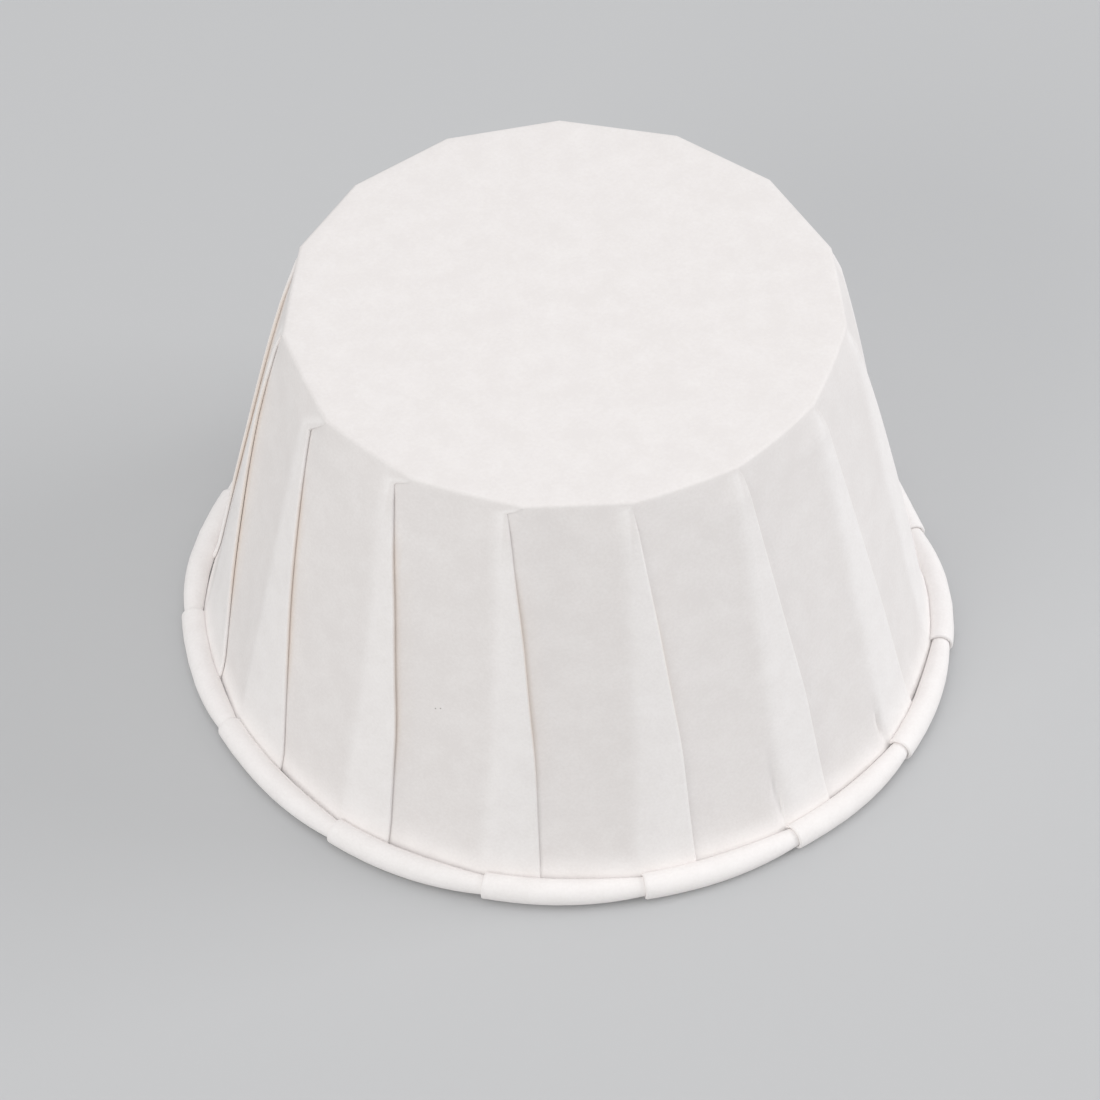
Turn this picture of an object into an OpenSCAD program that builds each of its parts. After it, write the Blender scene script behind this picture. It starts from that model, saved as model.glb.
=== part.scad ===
// Pleated paper portion cup, folded from one flat round sheet with a rolled rim.
// It stands upside down on its rim: the mouth is at z = 0 and the base faces up.

/* [Cup] */
// Width of the flat base across its corners
base_d = 50; // [44:1:56]
// Height of the cup, from the mouth to the outer face of the base
cup_h = 39.6; // [32:0.2:48]

/* [Rolled rim] */
// Outer width of the rolled rim, which is the widest part of the cup
mouth_d = 73.8; // [68:0.2:80]
// Width across the roll
roll_d = 2.4; // [2:0.1:3]
// Slit between the roll's free edge and the outermost layer of the wall
edge_gap = 0.05; // [0.03:0.01:0.2]
// Radius of the curve in which the wall turns outwards above the roll
entry_r = 15; // [10:1:25]
// Angle of that curve
entry_turn = 14; // [4:1:18]

/* [Pleats] */
// Number of pleats, which is also the number of the base's corners
pleats = 15; // [12:1:16]
// How far the pleats stray from an even row: 0 is a perfect row, 1 is this machine-folded cup
stray = 1; // [0:0.1:1]
// How far a pleat stands open halfway down the wall
gape = 0.5; // [0:0.1:0.9]
// Distance below the base at which a pleat first stands up as a crease
crease_s = 1; // [0.6:0.1:1.6]
// Distance below the base at which the three layers of a pleat come apart
part_s = 5; // [4.5:0.5:8]

/* [Paper] */
// Thickness of the paper
paper_t = 0.15; // [0.12:0.01:0.18]
// Gap between the layers of a pleat
layer_gap = 0.05; // [0.03:0.01:0.1]
// Outside radius of the bend between the base and the wall
bend_r = 0.6; // [0.4:0.1:1]

/* [Hidden] */

// Each pleat of this cup: its corner's shift as a share of the pitch, its lap against the mean
// lap, and how far it stands open against the mean
first_corner = 90;
shifts = [0.02, 0.06, 0.06, -0.03, 0.08, 0.2, 0.19, 0.15, 0.04, -0.02, -0.05, -0.06, -0.06, -0.05, -0.04];
laps = [1, 1.02, 1.05, 1.3, 1.32, 1.15, 0.8, 0.75, 0.8, 0.75, 0.8, 1.22, 1.04, 1, 1];
opens = [0.9, 1.2, 1.1, 1.5, 1.5, 1.2, 1.4, 1.1, 0.7, 0.5, 0.5, 0.9, 1.1, 0.9, 1.3];
// Where the outer fold starts below the base and turns down to the rim, as shares of the wall's
// length, and how far it is from the corner, as shares of the pitch: at its start, a third of the
// way down, at its knee and at the rim
starts = [0.02, 0.03, 0.035, 0.04, 0.03, 0.065, 0.033, 0.023, 0.02, 0.025, 0.038, 0.02, 0.02, 0.02, 0.02];
at_start = [-0.04, -0.08, -0.1, -0.1, -0.11, -0.22, -0.17, -0.12, -0.01, 0.03, 0.05, 0.02, 0, 0, -0.02];
at_third = [0.04, 0.03, 0.04, 0.08, 0.03, -0.04, 0, 0.02, 0.11, 0.14, 0.14, 0.17, 0.12, 0.1, 0.07];
at_knee = [0.16, 0.14, 0.16, 0.24, 0.19, 0.1, 0.12, 0.11, 0.2, 0.24, 0.23, 0.29, 0.23, 0.19, 0.17];
at_rim = [0.22, 0.22, 0.25, 0.43, 0.39, 0.17, 0.11, 0.15, 0.23, 0.28, 0.29, 0.42, 0.31, 0.26, 0.23];
knee = 0.65;
even_lean = 0.5;
// The line below a corner stays this share of a lap, or of a panel, away from the folds beside it,
// and runs down to the lap's middle, or to a third of the panel, at the rim
fold_margin = 0.3;
panel_margin = 0.12;
// An open pleat closes this share of the wall's length above the rim. It hinges on the bare panel
// before it, this share of the panel's width past the pleat before, and lifts along a curve
closes = 0.95;
hinge_share = 0.4;
lift_curve = 1.7;

// Rows of points from the base to the free edge of the roll, and the places of the rows on the
// straight part of the wall, from where the layers come apart to where the wall turns outwards
bend_rows = 2;
wall_places = [0, 0.2, 0.4, 0.67, 0.85, 1];
entry_rows = 2;
roll_rows_down = 2;
roll_rows_up = 7;

// A section is a pair [distance from the axis, height], taken in the middle of the paper
layer_step = paper_t + layer_gap;
half_t = paper_t / 2;
pitch = 360 / pleats;
roll_r = (roll_d - paper_t) / 2;
roll_centre = [(mouth_d - roll_d) / 2, roll_d / 2];
base_edge = [base_d / 2 - half_t, cup_h - half_t];
to_roll = roll_centre - base_edge;
// The wall starts at the base's edge, turns outwards and runs into the roll without a kink
aside = entry_r - (entry_r - roll_r) * cos(entry_turn);
flare = atan2(to_roll.x, -to_roll.y) - asin(aside / norm(to_roll));
wall_out = [cos(flare), sin(flare)];
wall_down = [sin(flare), -cos(flare)];
straight_len = to_roll * wall_down - (entry_r - roll_r) * sin(entry_turn);
wall_len = straight_len + entry_r * entry_turn * PI / 180;
// The roll turns on until its edge is the slit away from three layers of wall, which lean towards
// it a little there because the wall is still turning
layers_deep = 2 * layer_step + paper_t;
wall_leans = roll_r * sin(entry_turn / entry_rows / 2);
roll_turn = 360 - acos(1 - (layers_deep + wall_leans + edge_gap) / roll_r);
// It meets the surface that it stands on after the first part of that turn
turn_down = 90 - flare - entry_turn;

bend_mid = bend_r - half_t;
bend_turn = 90 - flare;
bend_centre = base_edge - bend_mid * [tan(bend_turn / 2), 1];

// How a row of points runs through a pleat: not at all, as a step, or as three layers
FLAT = 0;
CREASED = 1;
LAYERED = 2;

// A row of points runs once round the cup at one distance along the sheet. It holds the middle
// of the paper and the outward normal in section, how far down the wall it is from 0 at the base
// to 1 at the roll, how much larger the flat sheet's radius is there, and how it is pleated
function row(middle, normal, down, spare, kind) = [middle, normal, down, spare, kind];
function middle(row) = row[0];
function normal(row) = row[1];
function down(row) = row[2];
function spare(row) = row[3];
function kind(row) = row[4];

function out_at(turn) = [cos(flare + turn), sin(flare + turn)];
function bend_row(a) = row(bend_centre + bend_mid * [sin(a), cos(a)], [sin(a), cos(a)], 0, 0, FLAT);
function wall_row(s, kind) =
    row(base_edge + s * wall_down, wall_out, s / wall_len, s * (1 - sin(flare)), kind);
function entry_row(a) =
    let (point = base_edge + straight_len * wall_down + entry_r * (wall_out - out_at(a)))
    let (s = straight_len + entry_r * a * PI / 180)
    row(point, out_at(a), s / wall_len, base_edge.x + s - point.x, LAYERED);
function roll_row(a) =
    let (point = roll_centre - roll_r * out_at(entry_turn + a))
    let (sheet_r = base_edge.x + wall_len + roll_r * a * PI / 180)
    row(point, out_at(entry_turn + a), 1, sheet_r - point.x, LAYERED);

rows = [
    for (i = [0:bend_rows]) bend_row(i * bend_turn / bend_rows),
    wall_row(crease_s, CREASED),
    for (place = wall_places) wall_row(part_s + (straight_len - part_s) * place, LAYERED),
    for (i = [1:entry_rows]) entry_row(i * entry_turn / entry_rows),
    for (i = [1:roll_rows_down]) roll_row(i * turn_down / roll_rows_down),
    for (i = [1:roll_rows_up]) roll_row(turn_down + i * (roll_turn - turn_down) / roll_rows_up)
];

// The sheet's spare length in a row is shared out among the pleats, folded double in each
function of_pleat(list, i) = list[(i % pleats) % len(list)];
function corner(i) = first_corner + pitch * (i + stray * of_pleat(shifts, i));
function even_lap(row) = spare(row) * 180 / (pleats * middle(row).x);
function lap(row, i) = even_lap(row) * (1 + stray * (of_pleat(laps, i) - 1));
rim = entry_row(entry_turn);
function path(row, i) = pitch * lookup(down(row), [
    [0, 0],
    [of_pleat(starts, i), of_pleat(at_start, i)],
    [1 / 3, of_pleat(at_third, i)],
    [knee, of_pleat(at_knee, i)],
    [1, of_pleat(at_rim, i)]
]);
// In the roll the inner folds run on as they are, and the outer ones move on with the lap
function outer_fold(row, i) =
    let (even = even_lean * lap(row, i))
    let (strayed = path(row, i) + (down(row) < 1 ? 0 : lap(row, i) - lap(rim, i)))
    corner(i) + even + stray * (strayed - even);
function inner_fold(row, i) = outer_fold(row, i) - lap(row, i);
function between(low, a, high) = max(low, min(a, high));
function mixed(a, b, share) = a + (b - a) * share;
function corner_line(row, i) =
    let (margin = lap(row, i) * mixed(fold_margin, 1 / 2, down(row)))
    between(inner_fold(row, i) + margin, corner(i), outer_fold(row, i) - margin);

// How far the outer fold stands off the wall, and how far the layers before it do at an angle
function lift(row, i) =
    let (start = of_pleat(starts, i), share = (down(row) - start) / (closes - start))
    kind(row) != LAYERED || share <= 0 || share >= 1 ? 0 :
    gape * (1 + stray * (of_pleat(opens, i) - 1)) * sin(180 * share);
function lifted(row, i, a, hinge) =
    let (o = outer_fold(row, i))
    lift(row, i) == 0 || a <= hinge ? 0 : lift(row, i) * pow((a - hinge) / (o - hinge), lift_curve);
function hinge(row, i) =
    let (before = i == 0 ? outer_fold(row, pleats - 1) - 360 : outer_fold(row, i - 1))
    mixed(before, inner_fold(row, i), hinge_share);

// Distance of a straight side from the axis, as a share of its corners' distance
function side(a, i) =
    let (half = (corner(i + 1) - corner(i)) / 2)
    cos(half) / cos(a - corner(i) - half);
function straight(a, i) =
    a >= corner(i) ? side(a, i) :
    i == 0 ? side(a + 360, pleats - 1) :
    side(a, i - 1);

// A point at an angle, at a height above the middle of the innermost layer
function spot(row, i, a, h) =
    let (share = mixed(straight(a, i), 1, down(row)))
    let (r = middle(row).x * share + h * normal(row).x)
    [r * cos(a), r * sin(a), middle(row).y + h * normal(row).y];

// Each layer of a lap has a point at its inner fold, one below the corner and one at its outer
// fold. The sheet runs out on the outer layer, back on the middle layer and out on the inner one
layer_points = ["inner fold", "corner", "outer fold"];
on_middle = len(layer_points);
on_inner = 2 * on_middle;
lap_size = 3 * on_middle;

// One pleat's points on a face of the sheet, as [angle, height]. way is 1 outside and -1 inside
function lap_points(row, i, way) =
    let (o = outer_fold(row, i), n = inner_fold(row, i), c = corner_line(row, i))
    let (wrap = paper_t / middle(row).x * 180 / PI)
    let (o_end = way > 0 ? o : o - wrap, n_end = way > 0 ? n + wrap : n)
    let (low = way * half_t, top = 2 * layer_step + low, mid = layer_step - low)
    let (h = hinge(row, i), open = lift(row, i))
    kind(row) == FLAT ? [for (j = [1:lap_size]) [corner(i), low]] :
    kind(row) == LAYERED ? [
        [n, top + lifted(row, i, n, h)], [c, top + lifted(row, i, c, h)], [o_end, top + open],
        [o_end, mid + open], [c, mid + lifted(row, i, c, n)], [n_end, mid],
        [n_end, low], [c, low], [o, low]
    ] :
    way > 0 ? [[n, top], [c, top], [o, top], for (j = [on_middle:lap_size - 1]) [o, low]] :
    [for (j = [1:on_inner]) [n, top], [n, low], [c, low], [o, low]];

// The bare panel after it, which climbs onto the next pleat. One of its points is below the corner
// where a fold that leans back leaves that bare
panel_points = ["corner", "middle"];
function panel(row, i, way) =
    let (from = outer_fold(row, i), to = inner_fold(row, i + 1), h = hinge(row, i + 1))
    let (margin = mixed(panel_margin, 1 / 3, down(row)))
    let (first = between(margin, (corner(i) - from) / (to - from), 1 - 2 * margin))
    [for (j = [1:len(panel_points)])
        let (share = mixed(first, 1, (j - 1) / len(panel_points)))
        let (a = mixed(from, to, share))
        kind(row) == FLAT ? [corner(i), way * half_t] :
        [a, way * half_t + 2 * layer_step * pow(share, 2) + lifted(row, i + 1, a, h)]];

function ring(row, way) = [
    for (i = [0:pleats - 1])
        for (p = concat(lap_points(row, i, way), panel(row, i, way)))
            spot(row, i, p[0], p[1])
];

// Points that fall together in a row share the number of the first of them
per_pleat = lap_size + len(panel_points);
per_ring = pleats * per_pleat;
function shared(kind, j, way) =
    kind == FLAT ? 0 :
    kind == LAYERED || j >= lap_size ? j :
    way > 0 ? min(j, on_middle) :
    j < on_inner ? 0 : j;
function number(k, u, way) =
    let (v = u % per_ring, j = v % per_pleat)
    let (face = way > 0 ? 0 : len(rows) * per_ring)
    face + k * per_ring + v - j + shared(kind(rows[k]), j, way);

// All layers of a pleat are split along the same diagonal, so they stay parallel: the middle
// layer runs back, so the other two corners are joined there
function split(a, b, c, d, back) = back ? [[a, b, d], [b, c, d]] : [[a, b, c], [a, c, d]];
function turned(t) = [t[2], t[1], t[0]];
function skin(way) = [
    for (k = [0:len(rows) - 2])
        for (u = [0:per_ring - 1])
            let (a = number(k, u, way), b = number(k, u + 1, way))
            let (c = number(k + 1, u + 1, way), d = number(k + 1, u, way))
            let (j = u % per_pleat)
            for (t = split(a, b, c, d, j >= on_middle && j < on_inner - 1)) way > 0 ? t : turned(t)
];
function free_edge() = [
    let (k = len(rows) - 1)
    for (u = [0:per_ring - 1])
        each split(number(k, u, 1), number(k, u + 1, 1), number(k, u + 1, -1), number(k, u, -1), false)
];
function has_area(t) = t[0] != t[1] && t[1] != t[2] && t[2] != t[0];

module pleated_cup() {
    sheet = [for (way = [1, -1]) for (row = rows) each ring(row, way)];
    walls = [for (t = concat(skin(1), skin(-1), free_edge())) if (has_area(t)) t];
    base_out = [for (i = [pleats - 1:-1:0]) number(0, i * per_pleat, 1)];
    base_in = [for (i = [0:pleats - 1]) number(0, i * per_pleat, -1)];
    color([0.94, 0.93, 0.91])
        polyhedron(points = sheet, faces = concat(walls, [base_out, base_in]));
}

pleated_cup();
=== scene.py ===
import bisect
import math

import bmesh
import bpy
from mathutils import Matrix, Vector, noise


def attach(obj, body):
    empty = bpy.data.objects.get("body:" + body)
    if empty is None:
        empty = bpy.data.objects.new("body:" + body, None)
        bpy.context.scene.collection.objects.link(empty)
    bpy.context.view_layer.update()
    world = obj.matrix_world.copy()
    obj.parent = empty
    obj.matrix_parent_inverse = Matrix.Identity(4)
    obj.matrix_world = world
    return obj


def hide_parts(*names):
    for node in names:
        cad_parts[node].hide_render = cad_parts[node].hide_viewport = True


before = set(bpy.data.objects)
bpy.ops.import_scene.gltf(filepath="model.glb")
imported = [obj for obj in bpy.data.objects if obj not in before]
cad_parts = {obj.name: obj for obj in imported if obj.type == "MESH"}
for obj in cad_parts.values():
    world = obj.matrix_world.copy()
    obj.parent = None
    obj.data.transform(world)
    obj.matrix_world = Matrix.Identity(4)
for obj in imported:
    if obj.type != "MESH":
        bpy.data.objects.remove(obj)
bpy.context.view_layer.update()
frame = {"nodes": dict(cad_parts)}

print("frame loaded:", ", ".join(frame["nodes"]))

mm = 0.001


# The camera, fitted to the corners of the base and to the rim. The photograph is square.
camera = {
    "lens": 118.9,
    "sensor": 36.0,
    "distance": 0.350,       # from the middle of the mouth
    "elevation": 47.95,
    "pan": 0.302,
    "tilt": 0.865,
    "roll": -0.592,
}


def setCamera():
    data = bpy.data.cameras.new("camera")
    data.lens = camera["lens"]
    data.sensor_width = camera["sensor"]
    data.clip_start = 0.01
    made = bpy.data.objects.new("camera", data)
    bpy.context.collection.objects.link(made)
    up = math.radians(camera["elevation"])
    place = Matrix.Translation(Vector((0, -math.cos(up), math.sin(up))) * camera["distance"])
    made.matrix_world = (
        place
        @ Matrix.Rotation(math.pi / 2 - up, 4, "X")
        @ Matrix.Rotation(math.radians(camera["pan"]), 4, "Y")
        @ Matrix.Rotation(math.radians(camera["tilt"]), 4, "X")
        @ Matrix.Rotation(math.radians(camera["roll"]), 4, "Z")
    )
    bpy.context.scene.camera = made


# The cup. Lengths are in millimetres and angles in degrees, counter-clockwise from above.
cup = {
    "baseWidth": 50.0,       # across the corners of the flat base
    "height": 39.6,
    "mouthWidth": 73.8,
    "rollWidth": 2.4,
    "tightSlit": 0.02,       # between the roll's free edge and the wall, over a pleat
    "wideSlit": 0.07,        # and where the bare panel starts beside it
    "bendRadius": 0.35,      # at the edge of the base
    "entryRadius": 15.0,     # of the curve in which the wall turns outwards above the roll
    "entryTurn": 14.0,
    "baseShift": (-0.22, 0.1),   # of the base against the mouth
    "paper": 0.15,
    "layerStep": 0.175,      # from the middle of one layer of a pleat to the next
    "pleatStart": 0.4,       # distance below the base at which the spare paper starts to fold
    "layersApart": 3.0,      # and at which the layers lie at their full distance
    "knee": 26.0,            # and at which the outer folds turn down to the rim
    "halfway": 13.0,
    "cornerRounding": 0.7,   # at the base
    "rimRounding": 3.0,      # and further down
    "nearFold": 0.06,        # share of a bare panel from its outer fold to its first line, at least
    "farFromFold": 0.4,      # and at most
    "climbCurve": 2.2,       # of the panel as it climbs onto the next pleat
    "hinge": 0.4,            # share of a panel at which it starts to lift towards an open fold
    "flapCurve": 1.7,        # and how it lifts from there
    "tuckCurve": 3,          # how the layers under it lift
    "openCurve": 0.8,        # moves the widest place of an opening up the wall
    "follows": 0.95,         # the share of an opening by which the panel beside it rises
    "followReach": 2.2,      # and how far that reaches
    "shadeWidth": 0.7,       # of the warm shade beside an open fold
    "shadeFrom": 0.2,        # the opening from which it shows, and at twice which it is full
    "layersShow": 7.0,       # distance below the base over which the paler painted tone of the layers comes in
    "rimPale": 1.3,          # painted light: how pale the wall is painted just above the roll, where it catches light
    "rimPaleFrom": 4.0,      # and the distance above the roll at which that starts
    "rimPaleReach": 3.5,
    "dentCurve": 1.3,        # how the rim's dents fade up the wall
    "wave": 0.05,
    "waveLength": 11.0,
    "waveEnds": 4.0,
    "mergeGap": 0.0005,
    "sharpFrom": 62,         # an edge between faces at a wider angle is shaded sharp
}

# One line for each pleat, from the far side: its corner of the base, how far below the base its outer fold
# starts, and how far from the corner the fold is there, halfway, at the knee and at the rim. Then its lap
# against the mean, and how far its outer fold rises at most.
pleats = [
    (90.6, 0.8, -1.0, 1.0, 3.8, 5.2, 1.00, 0.4),
    (115.4, 1.2, -2.0, 0.8, 3.4, 5.4, 1.02, 0.6),
    (139.5, 1.4, -2.5, 0.9, 3.8, 6.0, 1.05, 0.5),
    (161.3, 1.5, -2.5, 1.8, 5.7, 10.4, 1.30, 0.55),
    (188.0, 1.2, -2.7, 0.8, 4.6, 9.4, 1.32, 0.55),
    (214.8, 2.7, -5.3, -1.9, 1.2, 4.0, 1.13, 0.45),
    (238.6, 1.3, -4.1, -0.4, 2.0, 2.4, 0.76, 0.5),
    (261.5, 0.9, -3.0, 0.4, 2.6, 3.5, 0.73, 0.42),
    (283.0, 0.8, -0.3, 2.6, 4.9, 5.6, 0.77, 0.3),
    (305.6, 1.0, 0.7, 3.3, 5.8, 6.7, 0.77, 0.2),
    (328.9, 1.5, 1.3, 3.4, 5.5, 6.9, 0.80, 0.2),
    (352.7, 0.8, 0.5, 4.0, 7.0, 10.1, 1.25, 0.4),
    (376.6, 0.8, 0.0, 3.0, 5.5, 7.5, 1.04, 0.5),
    (400.8, 0.8, 0.0, 2.4, 4.6, 6.2, 1.00, 0.4),
    (424.9, 0.8, -0.5, 1.6, 4.0, 5.6, 1.00, 0.6),
]
# How far each side of the base bows out towards the circle through its corners, as a share
sideBows = [0, 0, 0, 0.1, 0.2, 0.3, 0.35, 0.1, 0.4, 0.55, 0.4, 0.2, 0, 0, 0]
# Where the rim is out of round: an angle, how far it is pushed out there, and how wide the place is
rimDents = [(377, -1.35, 15), (325, 0.4, 18), (216, -0.2, 16), (176, 0.4, 16)]
# Puckers in the wall: an angle, a distance below the base, their depth, their width and length, and how many
# degrees they lean in each millimetre
puckers = [
    (303.5, 34.8, 0.5, 0.8, 4.2, 0.12),
    (305.9, 36.4, -0.25, 0.5, 1.4, 0.2),
    (326.4, 36.5, 0.55, 0.5, 2.9, 0.12),
]
cornerAngles = [pleat[0] for pleat in pleats]
halfPaper = cup["paper"] / 2


def wallLine():
    # from the edge of the base to where the roll begins, in section
    radius = (cup["rollWidth"] - cup["paper"]) / 2
    centre = Vector(((cup["mouthWidth"] - cup["rollWidth"]) / 2, cup["rollWidth"] / 2))
    edge = Vector((cup["baseWidth"] / 2 - halfPaper, cup["height"] - halfPaper))
    toRoll = centre - edge
    entry = cup["entryRadius"]
    turn = math.radians(cup["entryTurn"])
    aside = entry - (entry - radius) * math.cos(turn)
    flare = math.atan2(toRoll.x, -toRoll.y) - math.asin(aside / toRoll.length)
    straight = math.sqrt(toRoll.length ** 2 - aside ** 2) - (entry - radius) * math.sin(turn)
    return radius, centre, edge, flare, turn, straight


rollRadius, rollCentre, baseEdge, flare, entryTurn, straightLength = wallLine()
wallLength = straightLength + cup["entryRadius"] * entryTurn
wallOut = Vector((math.cos(flare), math.sin(flare)))
wallDown = Vector((math.sin(flare), -math.cos(flare)))


def baseRow(share):
    at = Vector((baseEdge.x * share, baseEdge.y))
    return {"at": at, "out": Vector((0, 1)), "round": 0, "s": 0, "spare": 0}


def bendRow(angle):
    inner = cup["bendRadius"] - halfPaper
    turn = math.pi / 2 - flare
    centre = baseEdge - inner * Vector((math.tan(turn / 2), 1))
    out = Vector((math.sin(angle), math.cos(angle)))
    return {"at": centre + inner * out, "out": out, "round": 0, "s": 0, "spare": 0}


def wallRow(s):
    at = baseEdge + min(s, straightLength) * wallDown
    out = wallOut
    if s > straightLength:
        angle = flare + (s - straightLength) / cup["entryRadius"]
        out = Vector((math.cos(angle), math.sin(angle)))
        at += cup["entryRadius"] * (wallOut - out)
    spare = (baseEdge.x + s - at.x) * eased((s - cup["pleatStart"]) / 0.5)
    return {"at": at, "out": out, "round": s / wallLength, "s": s, "spare": spare}


def rollRow(angle):
    out = Vector((math.cos(flare + entryTurn + angle), math.sin(flare + entryTurn + angle)))
    at = rollCentre - rollRadius * out
    spare = baseEdge.x + wallLength + rollRadius * angle - at.x
    return {"at": at, "out": out, "round": 1, "s": wallLength, "spare": spare, "rolled": angle}


def rollEnd(level, slit):
    # the angle through which a sheet at this level of a pleat rolls before its edge meets the wall
    depth = level * cup["layerStep"] + cup["paper"] + slit
    depth += (rollRadius ** 2 - (rollRadius - depth) ** 2) / (2 * cup["entryRadius"])
    return 2 * math.pi - math.acos((rollRadius - depth) / (rollRadius - level * cup["layerStep"]))


def steps(start, end, count):
    return [start + (end - start) * i / count for i in range(1, count + 1)]


# How finely the sheet is divided from the middle of the base to its edge. The wall has stretches, each with
# the distance at which it ends and its rows.
rowPlan = {
    "base": (0.05, 0.35, 0.65, 0.85, 0.95),
    "bend": 3,
    "wall": [(3.0, 10), (6.0, 4), (wallLength - 4, 28), (wallLength, 6)],
    "roll": 24,
}


def rowsOfCup():
    turn = math.pi / 2 - flare
    rows = [baseRow(share) for share in rowPlan["base"]]
    rows += [bendRow(turn * i / rowPlan["bend"]) for i in range(rowPlan["bend"] + 1)]
    start = cup["pleatStart"]
    for end, count in rowPlan["wall"]:
        rows += [wallRow(s) for s in steps(start, end, count)]
        start = end
    rows += [{"share": share} for share in steps(0, 1, rowPlan["roll"])]
    return rows


def mixed(a, b, share):
    return a + (b - a) * share


def eased(share):
    share = min(max(share, 0), 1)
    return share * share * (3 - 2 * share)


def foldOffset(pleat, s):
    start, startAt, halfAt, kneeAt, rimAt = pleat[1:6]
    places = [cup["pleatStart"], start, cup["halfway"], cup["knee"], wallLength]
    offsets = [0, startAt, halfAt, kneeAt, rimAt]
    s = min(max(s, places[0]), places[-1])
    i = min(max(bisect.bisect(places, s), 1), len(places) - 1)
    return mixed(offsets[i - 1], offsets[i], (s - places[i - 1]) / (places[i] - places[i - 1]))


def softOffset(pleat, s):
    # the path is sharp where the fold starts and eased further down
    if s < pleat[1] + 1.5:
        return foldOffset(pleat, s)
    reach = min(1.5, s - pleat[1] - 1.5)
    return (foldOffset(pleat, s - reach) + foldOffset(pleat, s) + foldOffset(pleat, s + reach)) / 3


def lapAngle(pleat, row):
    return pleat[6] * row["spare"] * 180 / (len(pleats) * row["at"].x)


def folds(row, number):
    # the outer fold, the inner fold and the line below the corner between them
    turn, index = divmod(number, len(pleats))
    pleat = pleats[index]
    corner = pleat[0] + 360 * turn
    if row["spare"] == 0:
        return corner, corner, corner
    outer = corner + softOffset(pleat, row["s"])
    lap = lapAngle(pleat, row)
    if "rolled" in row:
        outer += lap - lapAngle(pleat, wallRow(wallLength))
    inner = outer - lap
    middle = min(max(corner, inner + 0.25 * lap), outer - 0.25 * lap)
    return outer, inner, middle


def sideShare(angle):
    # a straight side's distance from the axis as a share of its corners' distance
    angle = (angle - cornerAngles[0]) % 360 + cornerAngles[0]
    i = bisect.bisect(cornerAngles, angle) - 1
    start = cornerAngles[i]
    end = cornerAngles[i + 1] if i + 1 < len(cornerAngles) else cornerAngles[0] + 360
    half = math.radians(end - start) / 2
    straight = math.cos(half) / math.cos(math.radians(angle - start) - half)
    return mixed(straight, 1, sideBows[i])


def roundedSide(angle, reach):
    return (sideShare(angle - reach) + 2 * sideShare(angle) + sideShare(angle + reach)) / 4


def bell(angle, middle, width):
    away = (angle - middle + 180) % 360 - 180
    return math.exp(-((away / width) ** 2))


def outOfRound(angle):
    return sum(push * bell(angle, middle, width) for middle, push, width in rimDents)


def opening(pleat, s):
    # how far the outer fold rises off the wall
    x = (s - pleat[1]) / (wallLength - 1 - pleat[1])
    if x <= 0 or x >= 1:
        return 0
    return pleat[7] * math.sin(math.pi * x ** cup["openCurve"])


# The stations on each part of a pleat. A layer runs from 0 at its inner fold, past 1 at the line below the
# corner, to 2 at its outer fold. A bare panel runs from 0 at its outer fold to 2 at the next inner fold, and
# a fold turns through half a circle.
halfTurn = [math.pi * i / 4 for i in range(5)]
stationPlan = [
    ("outer", [0, 0.25, 0.5, 1, 1.5, 1.92]),
    ("outerFold", halfTurn),
    ("middle", [1.92, 1.84, 1.75, 1.65, 1.5, 1.3, 1, 0.5, 0.08]),
    ("innerFold", halfTurn),
    ("inner", [0.08, 0.5, 1, 1.5]),
    ("panel", [0, 0.07, 0.2, 0.5, 1, 1.14, 1.3, 1.46, 1.61, 1.74, 1.83, 1.89, 1.93, 1.97]),
]


def stationsOfCup():
    # round the cup, through each pleat in turn and the bare panel up to the next one
    stations = []
    for number in range(len(pleats)):
        for part, places in stationPlan:
            stations += [(number, part, t) for t in places]
    return stations


def through(t, start, middle, end):
    return mixed(start, middle, t) if t <= 1 else mixed(middle, end, t - 1)


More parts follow.
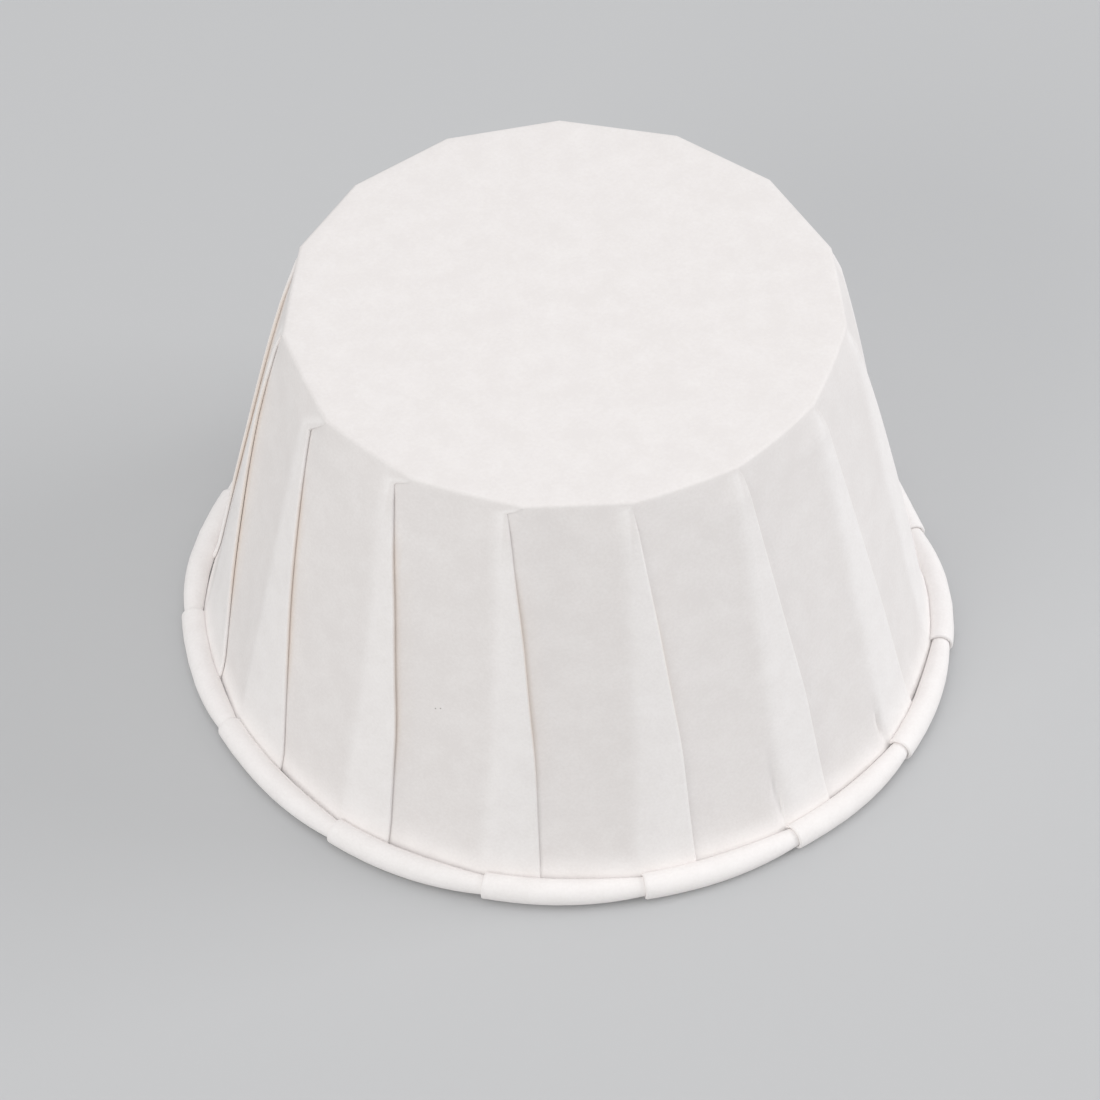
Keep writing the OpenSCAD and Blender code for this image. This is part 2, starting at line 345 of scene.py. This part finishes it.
def placed(row, station):
    number, part, t = station
    pleat = pleats[number]
    if "share" in row:
        # a row of the roll: the sheet of a bare panel rolls on further than the layers of a pleat
        end = rollEnd(2, cup["tightSlit"])
        if part == "panel":
            along = through(t, 0, cup["nearFold"], 1)
            end = rollEnd(2 * along ** cup["climbCurve"], mixed(cup["wideSlit"], cup["tightSlit"], along))
        row = rollRow(end * row["share"])
    outer, inner, middle = folds(row, number)
    beforeOuter = folds(row, number - 1)[0]
    nextOuter, nextInner, nextMiddle = folds(row, number + 1)
    apart = min(max((row["s"] - cup["pleatStart"]) / (cup["layersApart"] - cup["pleatStart"]), 0), 1)
    step = cup["layerStep"] * apart
    lift = 0 if "rolled" in row or row["spare"] == 0 else opening(pleat, row["s"])
    shift = 0
    # painted paleness: a pleat's layers take a paler painted tone for the light they send back, coming in
    # from the base
    paintedPaleness = eased(row["s"] / cup["layersShow"])
    # painted shade: a warm darker tone on an open fold's turned edge and on the panel beside it, growing with
    # the opening
    crease = eased((lift - cup["shadeFrom"]) / cup["shadeFrom"]) if part in ("outerFold", "panel") else 0
    if part == "outer":
        angle = through(t, inner, middle, outer)
        level = 2
        hinge = mixed(beforeOuter, inner, cup["hinge"])
        lift *= ((angle - hinge) / max(outer - hinge, 1e-6)) ** cup["flapCurve"]
    elif part == "outerFold":
        angle = outer
        level = 1.5 + math.cos(t) / 2
        shift = math.sin(t) / 2
        crease *= min(t / 1.5, 1)
    elif part == "middle":
        angle = through(t, inner, middle, outer)
        level = 1
        lift *= ((angle - inner) / max(outer - inner, 1e-6)) ** cup["tuckCurve"]
    elif part == "innerFold":
        angle = inner
        level = 0.5 + math.cos(t) / 2
        shift = -math.sin(t) / 2
        lift = 0
    elif part == "inner":
        angle = through(t, inner, middle, outer)
        level = 0
        lift *= cup["follows"] * ((angle - inner) / max(outer - inner, 1e-6)) ** cup["tuckCurve"]
    else:
        width = nextInner - outer
        corner = cornerAngles[number]
        line = outer + width * min(max((corner - outer) / width, cup["nearFold"]), cup["farFromFold"])
        angle = through(t, outer, line, nextInner)
        share = (angle - outer) / width
        level = 2 * share ** cup["climbCurve"]
        hinge = mixed(outer, nextInner, cup["hinge"])
        nextPleat = pleats[(number + 1) % len(pleats)]
        away = math.radians(angle - outer) * row["at"].x
        lift *= cup["follows"] * max(1 - away / cup["followReach"], 0) ** 2
        crease *= max(1 - away / cup["shadeWidth"], 0)
        nextLift = 0 if "rolled" in row or row["spare"] == 0 else opening(nextPleat, row["s"])
        lift += nextLift * max((angle - hinge) / (nextOuter - hinge), 0) ** cup["flapCurve"]
        # painted light: the panel is painted paler where it climbs onto the next pleat and just above the
        # roll
        aboveRoll = (row["s"] - wallLength + cup["rimPaleFrom"]) / cup["rimPaleReach"]
        paintedPaleness = max(eased((share - 0.85) / 0.15), cup["rimPale"] * eased(aboveRoll))
    height = level * step + lift
    if row["s"]:
        rounding = mixed(cup["cornerRounding"], cup["rimRounding"], row["round"])
        share = mixed(roundedSide(angle, rounding), 1, row["round"])
    else:
        share = sideShare(angle)
    if part in ("outer", "panel") and "rolled" not in row:
        for where, depth, push, width, length, lean in puckers:
            below = row["s"] - depth
            height -= push * bell(angle, where + lean * below, width) * math.exp(-((below / length) ** 2))
    radius = row["at"].x * share + height * row["out"].x
    around = math.radians(angle) + shift * step / row["at"].x
    spot = Vector((radius * math.cos(around), radius * math.sin(around), row["at"].y + height * row["out"].y))
    outwards = Vector((math.cos(around), math.sin(around), 0))
    down = row["round"] if row["s"] else 0
    spot += outwards * outOfRound(angle) * down ** cup["dentCurve"]
    spot += Vector(cup["baseShift"] + (0,)) * (1 - down)
    if row["s"] and "rolled" not in row:
        sway = cup["wave"] * noise.noise(spot / cup["waveLength"])
        top = eased(row["s"] / cup["waveEnds"])
        foot = eased((wallLength - row["s"]) / cup["waveEnds"])
        spot += outwards * sway * top * foot
    # the roll takes the full paler painted tone and the base the darker one
    if "rolled" in row:
        paintedPaleness = 1
    elif not row["s"]:
        paintedPaleness = 0
    return spot, paintedPaleness, crease


def foldCup():
    rows = rowsOfCup()
    stations = stationsOfCup()
    bm = bmesh.new()
    paintedPalenessLayer = bm.verts.layers.float.new("paintedPaleness")
    creaseLayer = bm.verts.layers.float.new("crease")
    stationLayer = bm.verts.layers.int.new("station")
    bmesh.ops.create_circle(bm, cap_ends=True, cap_tris=True, segments=len(stations), radius=1)
    centre = [v for v in bm.verts if len(v.link_edges) > 3][0]
    ring = [v for v in bm.verts if v is not centre]
    centre.co = Vector(cup["baseShift"] + (baseEdge.y,))
    ring.sort(key=lambda v: math.atan2(v.co.y, v.co.x) % (2 * math.pi))
    for i, v in enumerate(ring):
        v[stationLayer] = i
    edges = [e for e in bm.edges if centre not in e.verts]
    for k, row in enumerate(rows):
        if k > 0:
            made = bmesh.ops.extrude_edge_only(bm, edges=edges)["geom"]
            ring = [g for g in made if isinstance(g, bmesh.types.BMVert)]
            edges = [g for g in made if isinstance(g, bmesh.types.BMEdge)]
        for v in ring:
            v.co, v[paintedPalenessLayer], v[creaseLayer] = placed(row, stations[v[stationLayer]])
    bmesh.ops.remove_doubles(bm, verts=bm.verts, dist=cup["mergeGap"])
    bmesh.ops.dissolve_degenerate(bm, edges=bm.edges, dist=cup["mergeGap"] / 10)
    bmesh.ops.recalc_face_normals(bm, faces=bm.faces)
    if max(bm.faces, key=lambda f: f.calc_center_median().z).normal.z < 0:
        bmesh.ops.reverse_faces(bm, faces=bm.faces)
    bmesh.ops.scale(bm, vec=(mm, mm, mm), verts=bm.verts)
    mesh = bpy.data.meshes.new("foldedCup")
    bm.to_mesh(mesh)
    bm.free()
    made = bpy.data.objects.new("foldedCup", mesh)
    bpy.context.collection.objects.link(made)
    giveThickness(made)
    return made


def giveThickness(piece):
    solid = piece.modifiers.new("paper", "SOLIDIFY")
    solid.thickness = cup["paper"] * mm
    solid.offset = 0
    solid.use_even_offset = True
    seen = piece.evaluated_get(bpy.context.evaluated_depsgraph_get())
    thick = bpy.data.meshes.new_from_object(seen)
    piece.modifiers.clear()
    piece.data = thick
    thick.shade_smooth()
    thick.set_sharp_from_angle(angle=math.radians(cup["sharpFrom"]))


# Shader nodes as expressions: a wire is a socket that takes part in sums, and a desk makes the nodes.
class Wire:
    def __init__(self, desk, socket):
        self.desk = desk
        self.socket = socket

    def worked(self, operation, first, second):
        return self.desk.node("ShaderNodeMath", {"operation": operation}, {0: first, 1: second})

    def __add__(self, other):
        return self.worked("ADD", self, other)

    def __radd__(self, other):
        return self.worked("ADD", other, self)

    def __sub__(self, other):
        return self.worked("SUBTRACT", self, other)

    def __rsub__(self, other):
        return self.worked("SUBTRACT", other, self)

    def __mul__(self, other):
        return self.worked("MULTIPLY", self, other)

    def __rmul__(self, other):
        return self.worked("MULTIPLY", other, self)


class Desk:
    def __init__(self, name):
        self.material = bpy.data.materials.new(name)
        self.material.use_nodes = True
        self.tree = self.material.node_tree
        self.shader = self.tree.nodes["Principled BSDF"]

    def node(self, kind, settings, sockets, out=0):
        made = self.tree.nodes.new(kind)
        for name, value in settings.items():
            setattr(made, name, value)
        for name, value in sockets.items():
            self.plug(made.inputs[name], value)
        return Wire(self, made.outputs[out])

    def plug(self, socket, value):
        if isinstance(value, Wire):
            self.tree.links.new(value.socket, socket)
        else:
            socket.default_value = value

    def mix(self, share, first, second, blend="MIX"):
        settings = {"data_type": "RGBA", "blend_type": blend}
        return self.node("ShaderNodeMix", settings, {0: share, 6: first, 7: second}, out=2)

    def finish(self, name, value):
        self.plug(self.shader.inputs[name], value)


# The paper. Scales are per metre, and widths and heights in metres.
paper = {
    "single": (0.834, 0.798, 0.78, 1),      # one layer, painted darker for the light that passes through it into the empty cup behind it
    "backed": (0.94, 0.912, 0.898, 1),      # several layers on each other, painted paler as they send more light back
    "singleShare": 0.15,                    # how much of the backed tone one layer has
    "layerShare": 0.66,                     # and how much more several have
    "cloudScale": 400.0,
    "cloudShare": 0.8,
    "grainScale": 3800.0,
    "grainShare": 0.8,
    "crease": (0.95, 0.895, 0.84, 1),       # painted warm shade beside an open fold
    "fleck": (0.4, 0.38, 0.35, 1),          # tiny dark specks, where they are and how wide
    "specks": [(-0.01186, -0.02775, 0.01736), (-0.01141, -0.0279, 0.01753)],
    "speckWidth": 0.00018,
    "roughness": 0.78,
    "cloudRoughness": 0.08,
    "bump": 0.35,
    "bumpHeight": 0.00003,
    "cloudBump": 0.6,
}


def paperMaterial():
    desk = Desk("whitePaper")
    mottle = "ShaderNodeTexNoise"
    place = desk.node("ShaderNodeTexCoord", {}, {}, out="Object")
    paintedPaleness = desk.node("ShaderNodeAttribute", {"attribute_name": "paintedPaleness"}, {}, out="Fac")
    crease = desk.node("ShaderNodeAttribute", {"attribute_name": "crease"}, {}, out="Fac")
    clouds = desk.node(mottle, {}, {"Vector": place, "Scale": paper["cloudScale"], "Detail": 4.0})
    grain = desk.node(mottle, {}, {"Vector": place, "Scale": paper["grainScale"], "Detail": 3.0})
    fibres = (clouds - 0.5) * paper["cloudShare"] + (grain - 0.5) * paper["grainShare"]
    # painted light: the tone is darker for one layer and paler for several layers and just above the roll
    layers = paper["singleShare"] + paintedPaleness * paper["layerShare"]
    plain = desk.mix(layers + fibres, paper["single"], paper["backed"])
    # the painted shade is multiplied in beside open folds
    tone = desk.mix(crease, plain, paper["crease"], blend="MULTIPLY")
    for speck in paper["specks"]:
        away = desk.node("ShaderNodeVectorMath", {"operation": "DISTANCE"}, {0: place, 1: speck}, out="Value")
        near = desk.node("ShaderNodeClamp", {}, {0: 2 - away * (4 / paper["speckWidth"])})
        tone = desk.mix(near, tone, paper["fleck"])
    desk.finish("Base Color", tone)
    desk.finish("Roughness", paper["roughness"] + clouds * paper["cloudRoughness"])
    height = grain + clouds * paper["cloudBump"]
    bump = {"Strength": paper["bump"], "Distance": paper["bumpHeight"], "Height": height}
    desk.finish("Normal", desk.node("ShaderNodeBump", {}, bump))
    return desk.material


def addCup():
    piece = foldCup()
    piece.data.materials.clear()
    piece.data.materials.append(paperMaterial())
    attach(piece, "root")
    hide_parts("pleated_cup")
    print("cup folded:", len(piece.data.polygons), "faces")


# The floor and the lamps. Widths and distances are in metres, power in watts.
studio = {
    "floor": (0.56, 0.565, 0.57, 1),
    "floorRoughness": 0.9,
    "floorWidth": 4.0,
    "sky": (0.98, 0.99, 1.0, 1),
    "skyStrength": 0.59,
    "aim": (0, 0, 0.02),     # of the lamps
}
lamps = [
    # name, place, width, power, colour
    ("topLamp", (-0.05, -0.05, 0.80), 0.8, 1.6, (1.0, 0.985, 1.0)),
    ("leftLamp", (-0.53, -0.65, 0.42), 0.5, 2.03, (1.0, 0.98, 0.95)),
    ("rightLamp", (0.84, 0.1, 0.42), 0.5, 3.15, (0.99, 0.99, 1.0)),
]


def addStudio():
    bm = bmesh.new()
    bmesh.ops.create_circle(bm, cap_ends=True, segments=64, radius=studio["floorWidth"] / 2)
    mesh = bpy.data.meshes.new("floor")
    bm.to_mesh(mesh)
    bm.free()
    floor = bpy.data.objects.new("floor", mesh)
    bpy.context.collection.objects.link(floor)
    desk = Desk("paleFloor")
    desk.finish("Base Color", studio["floor"])
    desk.finish("Roughness", studio["floorRoughness"])
    mesh.materials.append(desk.material)

    world = bpy.data.worlds.new("studio")
    world.use_nodes = True
    background = world.node_tree.nodes["Background"]
    background.inputs["Color"].default_value = studio["sky"]
    background.inputs["Strength"].default_value = studio["skyStrength"]
    bpy.context.scene.world = world

    for name, place, width, power, colour in lamps:
        data = bpy.data.lights.new(name, "AREA")
        data.shape = "SQUARE"
        data.size = width
        data.energy = power
        data.color = colour
        lamp = bpy.data.objects.new(name, data)
        bpy.context.collection.objects.link(lamp)
        lamp.location = place
        aim = Vector(studio["aim"]) - Vector(place)
        lamp.rotation_euler = aim.to_track_quat("-Z", "Y").to_euler()


bpy.context.scene.view_settings.view_transform = "Standard"
setCamera()
addStudio()
print("camera, floor and lamps set")
addCup()
